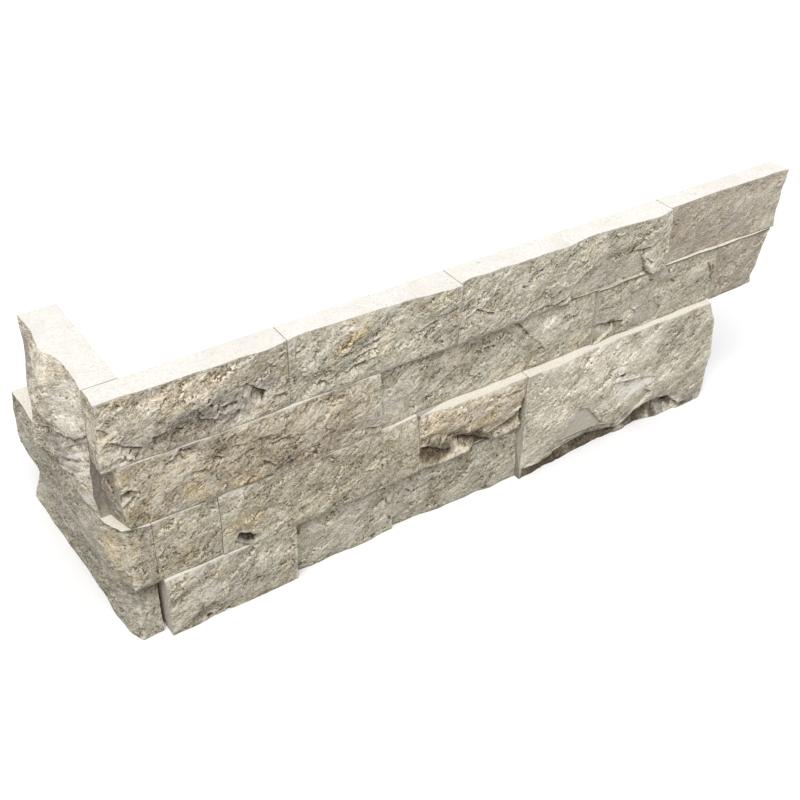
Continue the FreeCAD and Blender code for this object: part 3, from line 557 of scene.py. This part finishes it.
stoneLooks = {
    "top_stone_1": {
        "proud": 0.4, "level": 0.97,
        "ledges": [(-18, 140, -13, 136, 1.2, 5), (-12, 131, -7, 125.5, 1.6, 6), (-7, 125.5, 2, 121.5, 1.8, 6),
            (7, 125, 15, 125.5, 1.6, 6), (16, 126, 23, 123, 1.2, 5), (27, 132.5, 33, 130, 1.2, 5),
            (44, 128, 52, 128.5, 1.2, 4), (57, 136.5, 62, 132, 1.2, 4), (61, 132, 68, 128, 2.4, 7),
            (70, 124, 79, 124, 1.2, 5), (31, 126, 42, 122, 1.2, 5)],
        # pale here is painted light on the lit cream band along the top
        "pale": [(28, 143, 34, 9, 4, 0.9)],
        "cream": [(30, 143, 36, 9, 4, 0.6), (-14, 134, 6, 6, 0, 0.6), (-16, 125, 5, 7, 0, 0.6)],
        "ochre": [(-8, 150, 12, 4, 0, 0.5), (22, 149, 8, 4, 0, 0.4), (67, 147, 6, 6, 0, 0.5)],
        "grey": [(38, 126, 44, 11, 6, 0.8), (10, 120, 14, 6, 0, 0.5)],
    },
    "top_stone_2": {
        "proud": 0.4,
        "ledges": [(97, 123, 103, 119, 1.2, 4), (105, 122.5, 112, 124, 1.2, 4), (112, 122, 124, 126, 1.4, 4),
            (118, 132.5, 133, 135.5, 1.6, 5), (110, 133, 118, 134, 1, 3), (116, 128, 128, 131, 1.2, 4),
            (128, 138, 140, 143, 1, 4), (155, 130, 168, 135, 1.4, 5), (158, 126, 166, 131, 1, 4),
            (168, 137, 178, 138.5, 1, 4)],
        "cream": [(117, 141, 8, 4, 25, 0.7), (168, 146, 12, 6, 20, 0.8)],
        "ochre": [(118, 143, 14, 4, 25, 0.7), (112, 137.5, 8, 2.5, 0, 0.6), (157, 147, 6, 5, 0, 0.4),
            (136, 131, 4, 4, 0, 0.4)],
        "grey": [(170, 124, 14, 6, 0, 0.5)],
    },
    "top_stone_3": {
        "proud": 0.4, "roughness": 0.85, "calm": 0.15,
        "ledges": [(227, 115.4, 240, 118, 1.2, 3), (240, 118, 250, 116.5, 1, 3),
            (250, 116.5, 258, 119, 1.2, 3), (258, 119, 262, 124, 1.4, 4), (193, 133, 199, 129.5, 1.2, 3),
            (199, 129.5, 205, 127, 1, 3), (305, 133.5, 320, 133, 1.2, 4), (320, 133, 327, 141, 1.2, 4),
            (317, 126, 322, 121.5, 1.2, 3)],
        "hollows": [(236, 143, 1.6, 1, 0, 1), (224.5, 135.8, 1.2, 1, 0, 1)],
        "facets": [([(262, 115), (318, 116), (316, 122), (313, 129), (300, 134), (280, 137), (262, 123)],
            1.2, 0, 0.05, 0.3)],
        "cream": [(303, 131, 12, 2.5, -15, 0.5)], "grey": [(286, 124, 24, 9, 0, 0.4)],
    },
    "top_stone_4": {
        "proud": 0.4, "level": 0.94, "roughness": 0.55, "calm": 0.3,
        "ochre": [(345, 145, 10, 8, 0, 0.25)], "grey": [(385, 130, 22, 12, 0, 0.35)],
    },
    "upper_stone_1": {
        "proud": 0.8, "level": 0.86,
        "ledges": [(-14, 98.5, -8, 100.5, 1.8, 6), (-8, 100.5, -4, 98, 1.6, 5), (-12, 92, -6, 95, 1, 3),
            (21, 112, 25, 111, 1, 3), (37, 102, 41, 99.5, 1.6, 4), (43, 94.5, 58, 98, 1.4, 4),
            (46, 104, 54, 103, 1, 3), (57, 103, 68, 102.5, 1.4, 4), (67, 97, 78, 98, 1.4, 4),
            (24, 98, 33, 95.5, 1, 3), (115, 79.5, 124, 80, 1.2, 4), (124, 83.5, 131, 81, 1.2, 4),
            (70, 80, 78, 82, 1, 4), (63, 88, 70, 83, 1, 3)],
        "cream": [(-11, 107, 4, 6, 0, 0.8), (25, 86, 8, 8, -45, 0.9), (52, 80, 14, 4, 0, 0.8),
            (126, 104, 8, 5, 0, 0.6)],
        "ochre": [(50, 95, 110, 45, 0, 0.45), (55, 89, 4, 4, 0, 0.5), (113, 97, 9, 8, 0, 0.5),
            (29, 97, 6, 2, -20, 0.5)],
        # the first grey darkens the left end as painted shade
        "grey": [(-16, 94, 5, 24, 0, 0.9), (28, 111, 10, 3, 0, 0.8), (75, 81, 10, 5, 0, 0.6)],
    },
    "upper_stone_2": {
        "proud": -0.9, "level": 0.92, "roughness": 0.8,
        "ledges": [(226, 110, 231, 105, 1, 3), (231, 105, 236, 99, 0.7, 3), (236, 99, 243, 92, 0.5, 3),
            (243, 92, 247, 85, 0.7, 3), (257, 100, 270, 104, 1.2, 4), (170, 86, 176, 88, 1, 3),
            (185, 84, 190, 87, 1, 3), (203, 103, 210, 102, 1, 3), (160, 82, 185, 98, 0.5, 4)],
        "drops": [(228, 108, 2.6, 0.8, -50, 0.4)], "ochre": [(269, 86, 8, 7, 0, 0.5)],
        "grey": [(225, 100, 16, 8, 0, 0.3)], "white": [(248, 103, 12, 6, 30, 0.7)],
        "brown": [(182, 98, 1.2, 1, -30, 0.8)],
    },
    "upper_stone_3": {
        "proud": -0.8, "level": 0.9, "roughness": 0.8,
        "ledges": [(284, 101, 297, 100, 1, 3), (284, 91.5, 291, 89, 1.6, 5), (291, 89, 300, 86, 2, 6),
            (300, 86, 307, 86, 1.4, 5), (312, 92, 316, 90, 1.2, 4)],
        "facets": [([(283, 90), (285, 78), (302, 84)], 1, 0, 0.1, 0.7),
            ([(310, 92), (322, 92), (322, 104), (310, 104)], 0.6, 0.05, 0, 0.3),
            ([(314, 77), (335, 78), (337, 86), (330, 92), (316, 91)], 0.6, 0, 0.06, 0.3)],
        "drops": [(374, 102, 5, 0.8, -60, 0.5), (377.6, 94, 2.4, 0.6, -75, 0.4), (325, 108, 3, 0.6, -25, 0.1),
            (340, 109, 1.9, 0.6, -60, 0.2), (345, 100.5, 2.2, 0.8, -35, 0.2)],
        "cream": [(306, 95, 7, 8, 0, 0.6)], "white": [(308, 88, 5, 5, 50, 0.9)],
        "shade": [(297, 87, 7, 2.5, -12, 0.8)],
    },
    "upper_stone_4": {"proud": -0.7, "level": 0.9, "roughness": 0.7, "calm": 0.3},
    "lower_stone_1": {
        "proud": 0.6, "level": 0.95,
        "ochre": [(8, 60, 30, 40, 0, 0.4)],
    },
    "lower_stone_2": {
        "proud": 0.6, "level": 0.86, "roughness": 0.85,
        "ledges": [(46.5, 48, 55.5, 43, 3.2, 5), (43, 43, 50, 39.5, 1, 3)],
        "pale": [(143, 72, 18, 5, 0, 0.8)], "cream": [(50, 54, 14, 9, 0, 0.85)],
        "ochre": [(100, 57, 100, 45, 0, 0.4)], "grey": [(50, 42, 10, 4, 0, 0.5)],
        "shade": [(50, 43.5, 8, 3.6, -10, 0.8)],
    },
    "lower_stone_3": {
        "proud": 1, "level": 1.03,
        "ledges": [(160, 60, 167, 59, 1.6, 4), (167, 59, 176, 56, 1.4, 4), (159, 54, 168, 50, 2.4, 8),
            (168, 50, 180, 45, 2, 8), (183, 50, 190, 49.5, 2.5, 8), (190, 49.5, 209, 39.5, 4, 9),
            (209, 44, 222, 48, 2, 8), (222, 48, 231, 55, 2.5, 9), (212, 68.5, 230, 68, 0.8, 3)],
        "drops": [(230.2, 58, 0.9, 3.2, -10, 0.5), (229.8, 47, 0.8, 3, 5, 0.5)],
        "pale": [(166, 66, 7, 8, 0, 0.6), (190, 73, 44, 4, 0, 0.8)],
        "cream": [(166, 67, 8, 8, 0, 0.9), (196, 55, 9, 3, 25, 0.8), (176, 41, 14, 2, 0, 0.6)],
        "ochre": [(193, 57, 60, 40, 0, 0.45), (203, 57, 15, 7, 25, 0.8), (218, 60, 9, 7, 0, 0.5)],
        "shade": [(170, 46.5, 15, 7, -6, 1), (197, 45, 18, 4.6, -22, 1), (224, 48, 9, 3.5, 35, 0.8),
            (230.6, 50, 1.4, 13, 0, 0.9), (158, 75, 1.2, 2, 0, 0.8)],
    },
    "base_stone_1": {
        "proud": 1, "level": 0.97, "roughness": 0.85,
        "hollows": [(24, 2, 2, 1.6, 0, 1.6), (35, 0.5, 2, 1.5, 0, 1.5)],
        "cream": [(12, 31, 12, 4, 0, 0.6), (31, 29, 7, 2, 35, 0.7)], "grey": [(45, 20, 18, 12, 0, 0.5)],
    },
    "base_stone_2": {
        "proud": -0.8, "level": 0.86, "roughness": 0.85,
        "ledges": [(99, 30, 104, 31.5, 1, 3)],
        "drops": [(81, 29, 1.4, 4, 25, 0.6), (140.6, 10, 0.9, 2.4, 30, 0.4), (138, 24, 0.8, 2.6, 10, 0.4)],
        "pale": [(135, 11, 7.5, 9, 0, 0.7)], "white": [(101, 25.5, 2, 1.3, 0, 0.9)],
    },
    "base_stone_3": {
        "proud": -0.9, "level": 0.83, "roughness": 0.85,
        "ledges": [(148, 33.5, 157, 33, 1.4, 5), (153, 25, 156, 21, 1.2, 3), (156, 21, 166, 23, 1, 4),
            (166, 23, 180, 28, 1, 4)],
        "drops": [(197, 35, 0.8, 2.6, 0, 0.5), (228, 36.4, 1.8, 0.9, 0, 0.5)],
        "cream": [(170, 12, 20, 6, 0, 0.4)], "shade": [(185, 37, 50, 5, 0, 0.35)],
    },
    "tall_stone": {
        "proud": 0.9, "level": 1.04, "roughness": 0.75, "calm": 0.2,
        "ledges": [(234, 7, 250, 6, 1.8, 12), (249, 6, 262, 8.5, 1.8, 13), (261, 8.5, 285, 9, 1.8, 13),
            (284, 9, 301, 7.5, 1.8, 13), (300, 7.5, 313, 4, 1.6, 9), (257, 11.5, 268, 14, 0.8, 4),
            (268, 14, 295, 13.5, 0.8, 4), (295, 13.5, 311, 8.5, 0.8, 4), (317, 5.5, 326, 12.5, 1.8, 14),
            (325, 12.5, 336, 16, 2, 16), (335, 16, 347, 15.5, 1.9, 16), (346, 15.5, 357, 12.5, 1.8, 15),
            (356, 12.5, 366, 3, 1.6, 12), (302, 49, 312, 49.5, 1.2, 3), (304, 56, 312, 55.5, 0.7, 3)],
        "hollows": [(308, 48.5, 2.4, 1.2, 0, 1.6)],
        "facets": [([(260, 14), (285, 11.5), (298, 14), (283, 32), (276, 34)], 1.3, 0, 0.05, 0.8),
            ([(318, 20), (334, 31), (337, 36), (325, 39), (304, 42), (307, 30)], 0.3, 0, -0.16, 0.1),
            ([(314, 7), (323, 12), (336, 24), (331, 28), (320, 18)], 1.2, 0, 0.12, 0.8)],
        # pale and chalkHighlight on the wedge near 320 along are partly painted highlight of a facet turned
        # up to the light
        "pale": [(278, 52, 44, 24, 20, 1), (318, 33, 28, 14, 0, 1), (350, 38, 22, 12, 25, 0.8)],
        # the greys low along the foot are painted shade of the broken underside
        "grey": [(358, 62, 30, 13, 0, 0.4), (350, 18, 30, 8, -15, 0.4), (243, 18, 14, 14, 0, 0.3),
            (284, 11.5, 28, 4, -2, 0.9), (351, 6, 9, 7, 0, 0.9), (376, 6, 11, 7, 0, 0.9)],
        "chalkHighlight": [(321, 34, 18, 7.5, 10, 0.85), (307, 42, 5, 8, 25, 0.7), (306, 54, 8, 2.2, 0, 0.8),
            (273, 56, 9, 5, 40, 0.35), (340, 40, 4, 8, -30, 0.35)],
        "brown": [(308, 48.5, 3.2, 1.7, 0, 1)],
        "shade": [(254, 1.5, 28, 7.5, 2, 1), (291, 3, 26, 8, -3, 1), (331, 7, 16, 9, 10, 1),
            (355, 10, 10, 2.6, -50, 0.9), (345, 3, 4, 6, 0, 0.8), (369, 2, 6, 2.5, 0, 0.8)],
    },
    "return_tall_stone": {
        # painted light: level and the large pale patch lighten this face beyond its own tone
        "level": 1.08, "values": {"Lean": -30.0, "Stretch": 3.0}, "roughness": 0.85,
        "ledges": [(-2, 129, 20, 112, 1.2, 4), (20, 112, 36, 104, 1.4, 5), (36, 104, 52, 98, 1.6, 6),
            (52, 98, 68, 90, 1.4, 5), (2, 122, 34, 98, 0.7, 3), (0, 112, 44, 86, 0.6, 3),
            (2, 102, 38, 80, 0.6, 3), (10, 142, 44, 124, 0.5, 3), (30, 140, 62, 118, 0.5, 3)],
        "pale": [(25, 134, 62, 36, -24, 1)], "ochre": [(30, 141, 30, 8, -20, 0.35)],
        "grey": [(28, 105, 34, 5, -32, 1), (54, 91, 20, 8, -30, 1), (40, 90, 46, 14, -30, 0.7),
            (68, 130, 8, 26, 15, 0.6)],
        "chalkHighlight": [(20, 136, 44, 24, -28, 0.45), (16, 105, 22, 1.6, -36, 0.7), (12, 96, 20, 2, -36, 0.8),
            (28, 92, 24, 1.5, -33, 0.6), (8, 84, 14, 3, -34, 0.8), (38, 82, 22, 1.6, -30, 0.6)],
        "shade": [(46, 98, 12, 2, -32, 0.6), (-1, 95, 2.2, 50, 0, 0.9)],
    },
    "return_lower_stone": {
        "proud": -0.5, "level": 0.84, "values": {"Lean": -28.0, "Stretch": 2.5},
        "cream": [(-6, 58, 14, 20, 0, 0.9)], "ochre": [(-4, 60, 12, 16, 0, 0.5)],
        # grey here is partly greyer stone, partly painted shade
        "grey": [(70, 57, 60, 18, 0, 0.35)],
    },
    "return_base_stone": {
        "proud": -0.7, "level": 0.9, "values": {"Lean": -28.0, "Stretch": 2.5},
        # grey here is partly painted shade; shade paints the shade under the stone above
        "grey": [(50, 20, 80, 20, 0, 0.45)], "shade": [(-14, 37, 16, 13, 0, 0.6), (50, 38, 90, 4, 0, 0.5)],
    },
}
markValues = {
    "waver": 3.2,       # mm that the edges of marks wander
    "crisp": 0.6,       # share of that which facets and drops don't follow
    "ledgeEnd": 0.18,   # share of a ledge's length over which it fades in and out
    "lip": 0.16,        # how far a ledge's lip stands out, as a share of its drop
    "lipWidth": 1.6,    # mm
    "lipRun": 0.35,     # mm down the face for each mm of drop: a steeper lip would tear the grain
    "darkDrop": 2.6,    # mm of drop whose crevice is fully dark
    "deepDrop": 1.8,    # mm of drop from which the whole cut darkens
    "flank": 1.2,       # mm that a facet rises for each mm outside its outline
    "flankWidth": 4,    # mm
    "front": 0.35,      # how far a face looks outwards before marks move it
}


def softStep(share):
    share = np.clip(share, 0, 1)
    return share * share * (3 - 2 * share)


def ledgeReach(along, up, mark):  # how far below the line, as a share of its reach, and its fading ends
    fromAlong, fromUp, toAlong, toUp, drop, reach = mark
    length = math.hypot(toAlong - fromAlong, toUp - fromUp)
    wayAlong, wayUp = (toAlong - fromAlong) / length, (toUp - fromUp) / length
    share = ((along - fromAlong) * wayAlong + (up - fromUp) * wayUp) / length
    below = ((along - fromAlong) * wayUp - (up - fromUp) * wayAlong) / reach
    fade = markValues["ledgeEnd"]
    return below, softStep(share / fade + 0.4) * softStep((1 - share) / fade + 0.4)


def ledgeDepth(along, up, mark):  # steps back below the line and comes out again further down
    below, fade = ledgeReach(along, up, mark)
    drop, reach = mark[4:]
    cut = np.where((below > 0) & (below < 1), 1 - np.abs(below) ** max(1.0, 1.3 * drop - 1), 0)
    cut *= softStep(below * reach / (markValues["lipRun"] * drop))
    lip = np.exp(-(below * reach / markValues["lipWidth"]) ** 2)
    lip = np.where(below <= 0, markValues["lip"] * lip, 0)
    return drop * fade * (cut - lip)


def ledgeShade(along, up, mark):  # painted shade: a thin dark crevice under the lip, and dark depths under a high one
    below, fade = ledgeReach(along, up, mark)
    drop, reach = mark[4:]
    under = np.where(below > 0, np.exp(-below * reach / (0.5 + 0.3 * drop)), 0)
    under *= min(1.0, drop / markValues["darkDrop"])
    deep = np.where((below > 0) & (below < 1), 1 - below ** 2, 0)
    deep *= max(0.0, min(0.9, (drop - markValues["deepDrop"]) / 1.2))
    return fade * np.maximum(under, deep)


def facetReach(along, up, points):  # mm outside a convex outline, negative inside it
    reach = np.full(len(along), -1e9)
    for (fromAlong, fromUp), (toAlong, toUp) in zip(points, points[1:] + points[:1]):
        length = math.hypot(toAlong - fromAlong, toUp - fromUp)
        outside = ((along - fromAlong) * (toUp - fromUp) - (up - fromUp) * (toAlong - fromAlong)) / length
        reach = np.maximum(reach, outside)
    return reach


def ovalReach(along, up, mark):  # 0 at the centre of an oval mark and 1 at its rim
    centreAlong, centreUp, halfAlong, halfUp, lean = mark
    cosine, sine = math.cos(math.radians(lean)), math.sin(math.radians(lean))
    farther = (along - centreAlong) * cosine + (up - centreUp) * sine
    higher = (up - centreUp) * cosine - (along - centreAlong) * sine
    return np.hypot(farther / halfAlong, higher / halfUp)


def readPoints(mesh, name, size):
    values = np.zeros(len(mesh.vertices) * size, np.float32)
    field = "vector" if size == 3 else "value"
    mesh.attributes[name].data.foreach_get(field, values)
    return values.reshape(-1, size).astype(float)


def markStone(mesh, look, alongWay, outWay):  # moves the points as the stone's marks say, and gives them their colour layers, painted light and shade among them
    place = readPoints(mesh, "position", 3) / metresPerMm
    waver = readPoints(mesh, "waver", 3) * markValues["waver"]
    facing = readPoints(mesh, "facing", 3)
    relief = readPoints(mesh, "relief", 1)[:, 0]
    along = place @ alongWay + waver[:, 0]
    up = place[:, 2] + waver[:, 1]
    out = place @ outWay
    share = softStep((facing @ outWay - markValues["front"]) / 0.3)
    shaped = out.copy()
    smooth = np.full(len(along), look.get("calm", 0.0))
    crispAlong = along - markValues["crisp"] * waver[:, 0]
    crispUp = up - markValues["crisp"] * waver[:, 1]
    for points, depth, tiltAlong, tiltUp, calm in look.get("facets", ()):
        reach = facetReach(crispAlong, crispUp, points)
        centreAlong, centreUp = np.mean(points, axis=0)
        level = np.median(out[(reach < 0) & (share > 0.5)]) - depth
        plane = level + tiltAlong * (along - centreAlong) + tiltUp * (up - centreUp)
        cut = plane + np.maximum(0, reach) * markValues["flank"] + relief * (1 - calm) * 0.6
        inside = reach < markValues["flankWidth"]
        smooth = np.maximum(smooth, np.where(inside & (cut < shaped), calm * softStep(-reach + 0.8), 0))
        shaped = np.where(inside, np.minimum(shaped, cut), shaped)
    # dark: painted shade under ledges and in hollows, which starts the shade layer
    dark = np.zeros(len(along))
    for mark in look.get("ledges", ()):
        shaped -= ledgeDepth(along, up, mark)
        dark = np.maximum(dark, ledgeShade(along, up, mark))
    # each hollow is also filled with painted shade
    for mark in look.get("hollows", ()):
        bowl = np.maximum(0, 1 - ovalReach(along, up, mark[:5]) ** 2)
        shaped -= mark[5] * bowl
        dark = np.maximum(dark, bowl)
    glued = np.zeros(len(along))
    for mark in look.get("drops", ()):
        bulge = np.maximum(0, 1 - ovalReach(crispAlong, crispUp, mark[:5]) ** 2)
        shaped += mark[5] * np.sqrt(bulge)
        glued = np.maximum(glued, np.minimum(1, 4 * bulge))
    place += np.outer((shaped - out) * share, outWay)
    grain = readPoints(mesh, "grain", 3)
    grain[:, 2] += (shaped - out) * share   # so the colours don't stretch into the cuts
    for name, values in (("grain", grain), ("position", place * metresPerMm)):
        mesh.attributes[name].data.foreach_set("vector", values.astype(np.float32).ravel())
    layers = {"smooth": np.maximum(smooth, glued), "proud": np.full(len(along), look.get("proud", 0.3)),
              "level": np.full(len(along), look.get("level", 1.0))}
    for kind in stainsAndShading:
        layers[kind] = {"shade": dark, "resin": glued}.get(kind, np.zeros(len(along)))
        for mark in look.get(kind, ()):
            fall = np.maximum(0, 1 - ovalReach(along, up, mark[:5]) ** 2)
            layers[kind] = np.maximum(layers[kind], mark[5] * np.sqrt(fall))
    for kind, strength in layers.items():
        layer = mesh.attributes.new(kind, "FLOAT", "POINT")
        layer.data.foreach_set("value", strength.astype(np.float32))


# From CAD node to finished stone

armWays = {  # along each arm, and out of its face
    "long": (Vector((1, 0, 0)), Vector((0, -1, 0))),
    "return": (Vector((0, 1, 0)), Vector((-1, 0, 0))),
}
planeSlack = 2e-6  # metres within which a point lies in a sawn plane
foldAngle = math.radians(50)  # an upright edge that turns more stays partly sharp
foldCrease = 0.75
quadAngle = math.radians(60)  # two triangles that turn less make a quad


def splitBand(node, alongWay, outWay):  # the split faces of a CAD node, as joined quads
    low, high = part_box(node)
    start, end = min(low @ alongWay, high @ alongWay), max(low @ alongWay, high @ alongWay)
    planes = {"base": (Vector((0, 0, -1)), -low.z), "top": (Vector((0, 0, 1)), high.z),
              "back": (-outWay, 0.0), "start": (-alongWay, -start), "end": (alongWay, end)}
    mesh = bmesh.new()
    mesh.from_mesh(frame["nodes"][node].data)
    bmesh.ops.remove_doubles(mesh, verts=mesh.verts, dist=1e-6)
    mesh.normal_update()
    sawn = {name: [] for name in planes}
    for face in mesh.faces:
        for name, (normal, distance) in planes.items():
            inPlane = all(abs(corner.co @ normal - distance) < planeSlack for corner in face.verts)
            if face.normal @ normal > 0.99 and inPlane:
                sawn[name].append(face)
    bmesh.ops.delete(mesh, geom=[face for faces in sawn.values() for face in faces], context="FACES")
    bmesh.ops.join_triangles(mesh, faces=mesh.faces, angle_face_threshold=quadAngle,
                             angle_shape_threshold=quadAngle)
    crease = mesh.edges.layers.float.new("crease_edge")
    for edge in mesh.edges:
        upright = abs((edge.verts[0].co - edge.verts[1].co).normalized().z) > 0.7
        if upright and len(edge.link_faces) == 2 and edge.calc_face_angle() > foldAngle:
            edge[crease] = foldCrease
    band = bpy.data.meshes.new(node + "_band")
    mesh.to_mesh(band)
    mesh.free()
    facts = {"start": start, "end": end, "low": low.z, "high": high.z,
             "startSawn": bool(sawn["start"]), "endSawn": bool(sawn["end"])}
    return addObject(node + "_split", band), facts


def rimLoop(mesh):  # the open rim, walked in order
    edges = {edge for edge in mesh.edges if len(edge.link_faces) == 1}
    corner = next(iter(sorted(edges, key=lambda edge: edge.index))).verts[0]
    loop = []
    while edges:
        loop.append(corner)
        edge = next(edge for edge in corner.link_edges if edge in edges)
        edges.remove(edge)
        corner = edge.other_vert(corner)
    return loop


def closeStone(obj, facts, alongWay):  # sawn backs, beds and sides, each one flat face
    mesh = bmesh.new()
    mesh.from_mesh(obj.data)
    mesh.edges.index_update()
    loop = rimLoop(mesh)

    def level(corner):
        if corner.co.z > facts["high"] - planeSlack:
            return "top"
        return "base" if corner.co.z < facts["low"] + planeSlack else "side"

    levels = [level(corner) for corner in loop]
    first = next(i for i, name in enumerate(levels) if name == "base" and levels[i - 1] != "base")
    loop = loop[first:] + loop[:first]
    base = [corner for corner in loop if level(corner) == "base"]
    top = [corner for corner in loop if level(corner) == "top"]
    topFirst = loop.index(top[0])
    near = loop[len(base):topFirst]  # the side that follows the base in the walk
    far = loop[topFirst + len(top):]
    ends = [(near, base[-1], top[0]), (far, top[-1], base[0])]

    def backCorner(corner):  # the point of the back plane level with a rim point
        place = alongWay * (corner.co @ alongWay)
        place.z = corner.co.z
        return mesh.verts.new(place)

    backEdges = []
    for side, lastCorner, nextCorner in ends:
        isStart = (lastCorner.co @ alongWay) < (facts["start"] + facts["end"]) / 2
        if facts["startSawn"] if isStart else facts["endSawn"]:
            edge = [backCorner(lastCorner), backCorner(nextCorner)]
            mesh.faces.new([lastCorner] + side + [nextCorner] + edge[::-1])
            backEdges.append(edge)
        else:
            backEdges.append([lastCorner] + side + [nextCorner])
    nearBack, farBack = backEdges
    beds = [base + [nearBack[0], farBack[-1]], top + [farBack[0], nearBack[-1]]]
    for ring in beds + [nearBack + farBack]:
        mesh.faces.new(list(dict.fromkeys(ring)))  # a corner that comes twice counts once
    mesh.faces.ensure_lookup_table()
    sawnFaces = mesh.faces[len(obj.data.polygons):]
    for face in mesh.faces:
        face.smooth = True
    for face in sawnFaces:
        face.smooth = False
        face.material_index = 1
    bmesh.ops.recalc_face_normals(mesh, faces=mesh.faces)
    mesh.to_mesh(obj.data)
    mesh.free()


splitTree = buildSplitTree()
hollowTree = buildHollowTree()
slots = {part["node"]: part["material_slot"] for part in frame["record"]["subparts"]}
finished = {}


def makeStone(node, look, seed):
    alongWay, outWay = armWays["return" if node.startswith("return") else "long"]
    obj, facts = splitBand(node, alongWay, outWay)
    material = splitMaterials[slots[node]]
    values = {name.capitalize(): value for name, value in splitValues.items()}
    values.update({name.capitalize(): facts[name] * mmPerMetre for name in ("start", "end", "low", "high")})
    values.update({"Along": alongWay, "Out": outWay, "Material": material, "Seed": float(seed),
                   "Start sawn": float(facts["startSawn"]), "End sawn": float(facts["endSawn"]),
                   "Roughness": look.get("roughness", 1.0), **look.get("values", {})})
    mesh = runTree(obj, splitTree, values)
    markStone(mesh, look, np.array(alongWay), np.array(outWay))
    mesh = runTree(obj, hollowTree, {"Material": material})
    mesh.name = obj.name
    for name in ("waver", "facing", "direction", "relief", "crease_edge"):
        if name in mesh.attributes:
            mesh.attributes.remove(mesh.attributes[name])  # used up
    mesh.materials.append(sawnStone)
    closeStone(obj, facts, alongWay)
    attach(obj, "root")
    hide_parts(node)
    finished[node] = obj


for seed, (node, look) in enumerate(stoneLooks.items(), 1):
    makeStone(node, look, seed)
print("stones made:", len(finished), "with", sum(len(o.data.polygons) for o in finished.values()), "faces")

for node, slot in slots.items():
    if slot == "resin":
        for holder in frame["nodes"][node].material_slots:
            holder.link = "OBJECT"
            holder.material = curedResin


# Floor, light and camera

studio = {
    "floorSize": 6.0,
    "floorShown": (0.93, 0.93, 0.93),
    "floorBounce": (0.30, 0.30, 0.30),
    "skyStrength": 0.50,
    "key": {"from": (-0.42, -0.56, 1.22), "spread": 42.0, "strength": 2.55},  # spread in degrees
}


def seenBy(tree, *kinds):  # 1 for the camera and for these kinds of ray
    rays = addNode(tree, "ShaderNodeLightPath").outputs
    seen = rays["Is Camera Ray"]
    for kind in kinds:
        seen = calc(tree, "MAXIMUM", seen, rays["Is %s Ray" % kind])
    return seen


def makeFloor():
    half = studio["floorSize"] / 2
    mesh = bpy.data.meshes.new("floor")
    corners = [(-half, -half, 0), (half, -half, 0), (half, half, 0), (-half, half, 0)]
    mesh.from_pydata(corners, [], [(0, 1, 2, 3)])
    floor = addObject("floor", mesh)
    material, tree, shader = newMaterial("pale floor", studio["floorShown"])
    colour = mix(tree, seenBy(tree, "Glossy"), opaque(studio["floorBounce"]), opaque(studio["floorShown"]))
    fill(tree, shader, {"Base Color": colour, "Roughness": 0.9, "Specular IOR Level": 0.0})
    mesh.materials.append(material)


def makeSky():
    world = bpy.data.worlds.new("studio")
    world.use_nodes = True
    bpy.context.scene.world = world
    tree = world.node_tree
    tree.nodes.clear()
    seen = seenBy(tree, "Glossy", "Transmission")
    strength = addNode(tree, "ShaderNodeMapRange", [seen, 0.0, 1.0, studio["skyStrength"], 1.0]).outputs[0]
    background = addNode(tree, "ShaderNodeBackground", [(1.0, 1.0, 1.0, 1.0)])
    join(tree, strength, background.inputs["Strength"])
    output = addNode(tree, "ShaderNodeOutputWorld")
    join(tree, background.outputs[0], output.inputs["Surface"])


def makeKey():  # a wide soft light from high on the front left
    key = studio["key"]
    light = bpy.data.lights.new("soft key", "SUN")
    light.energy = key["strength"]
    light.angle = math.radians(key["spread"])
    lamp = addObject("soft key", light)
    lamp.location = key["from"]
    lamp.rotation_euler = (-Vector(key["from"])).to_track_quat("-Z", "Y").to_euler()


camera = {"place": (-0.14695, -0.43514, 0.47026), "turn": (53.5007, -1.1053, -34.0108),  # metres, degrees
          "lens": 54.04, "sensor": 36.0, "near": 0.01}  # mm, mm, metres


def makeCamera():
    lens = bpy.data.cameras.new("camera")
    lens.lens = camera["lens"]
    lens.sensor_width = camera["sensor"]
    lens.clip_start = camera["near"]
    view = addObject("camera", lens)
    view.location = camera["place"]
    view.rotation_euler = Euler([math.radians(turn) for turn in camera["turn"]])
    bpy.context.scene.camera = view


makeFloor()
makeSky()
makeKey()
makeCamera()
bpy.context.scene.view_settings.view_transform = "Standard"
print("studio set")
